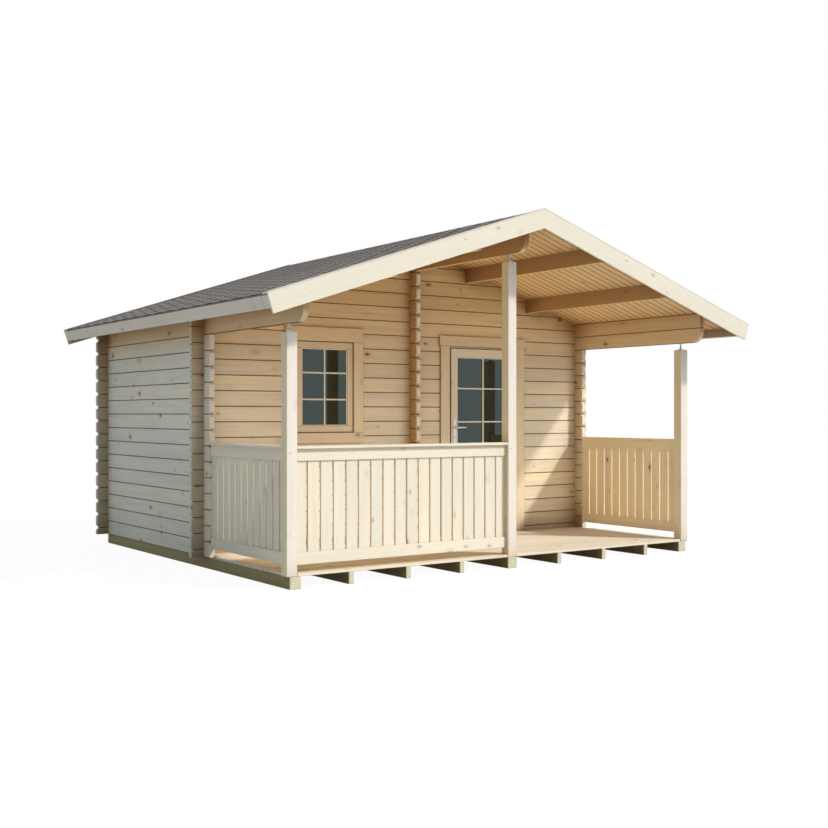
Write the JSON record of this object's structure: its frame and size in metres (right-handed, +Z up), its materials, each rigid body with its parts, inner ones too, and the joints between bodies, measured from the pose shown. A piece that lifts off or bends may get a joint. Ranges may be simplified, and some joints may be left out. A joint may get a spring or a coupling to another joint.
{
  "type": "log cabin",
  "caption": "Timber log cottage with a low shingled gable roof, a covered veranda with railings, a glazed door and a small paned window.",
  "frame": {"origin": "on the ground, under the middle of the roof", "axes": "+X to the right along the front, +Y from the veranda to the back wall, +Z up"},
  "size_m": [5.1, 4.41, 3.0008],
  "materials": {
    "wall_timber": "planed spruce, untreated",
    "trim_timber": "planed spruce, pale",
    "joinery_timber": "sanded spruce",
    "roof_timber": "planed spruce, warm",
    "deck_timber": "planed boards",
    "floor_timber": "planed boards",
    "green_timber": "pressure treated, green",
    "shingles": "bitumen felt with mineral granules",
    "steel": "zinc plated",
    "glass": "clear pane"
  },
  "bodies": {
    "cottage": {"base_beams": "green_timber", "veranda_deck": "deck_timber", "room_floor": "floor_timber", "left_wall": "wall_timber", "right_wall": "wall_timber", "back_wall": "wall_timber", "left_eave_beam": "wall_timber", "right_eave_beam": "wall_timber", "front_wall_base": "wall_timber", "front_wall_left_pier": "wall_timber", "front_wall_middle_pier": "wall_timber", "front_wall_right_pier": "wall_timber", "front_gable": "wall_timber", "crossing_log_ends": "wall_timber", "ridge_purlin": "roof_timber", "middle_purlins": "roof_timber", "left_roof_boards": "roof_timber", "right_roof_boards": "roof_timber", "left_roofing": "shingles", "right_roofing": "shingles", "left_fascia": "trim_timber", "right_fascia": "trim_timber", "front_left_barge_board": "trim_timber", "front_right_barge_board": "trim_timber", "rear_left_barge_board": "trim_timber", "rear_right_barge_board": "trim_timber", "left_gable_laths": "trim_timber", "right_gable_laths": "trim_timber", "veranda_posts": "trim_timber", "post_jacks": "steel", "front_railing": "trim_timber", "left_railing": "trim_timber", "right_railing": "trim_timber", "door_frame": "joinery_timber", "door_casing": "joinery_timber", "hinge_pins": "steel", "window_frame": "joinery_timber", "window_casing": "joinery_timber", "window_glass": "glass"},
    "door": {"door_leaf": "joinery_timber", "door_panel": "joinery_timber", "door_glass": "glass", "hinge_knuckles": "steel", "lock_plate": "steel"},
    "lever": {"door_lever": "steel"}
  },
  "joints": [
    {"name": "door_swing", "type": "hinge", "parent": "cottage", "child": "door", "pos_m": [1.2695, -0.31, 1.05], "axis": [0, 0, 1], "range_deg": [0, 100]},
    {"name": "lever_turn", "type": "hinge", "parent": "door", "child": "lever", "pos_m": [0.5015, -0.298, 1.178], "axis": [0, 1, 0], "range_deg": [0, 40], "stiffness_Nm_per_rad": 0.6}
  ]
}
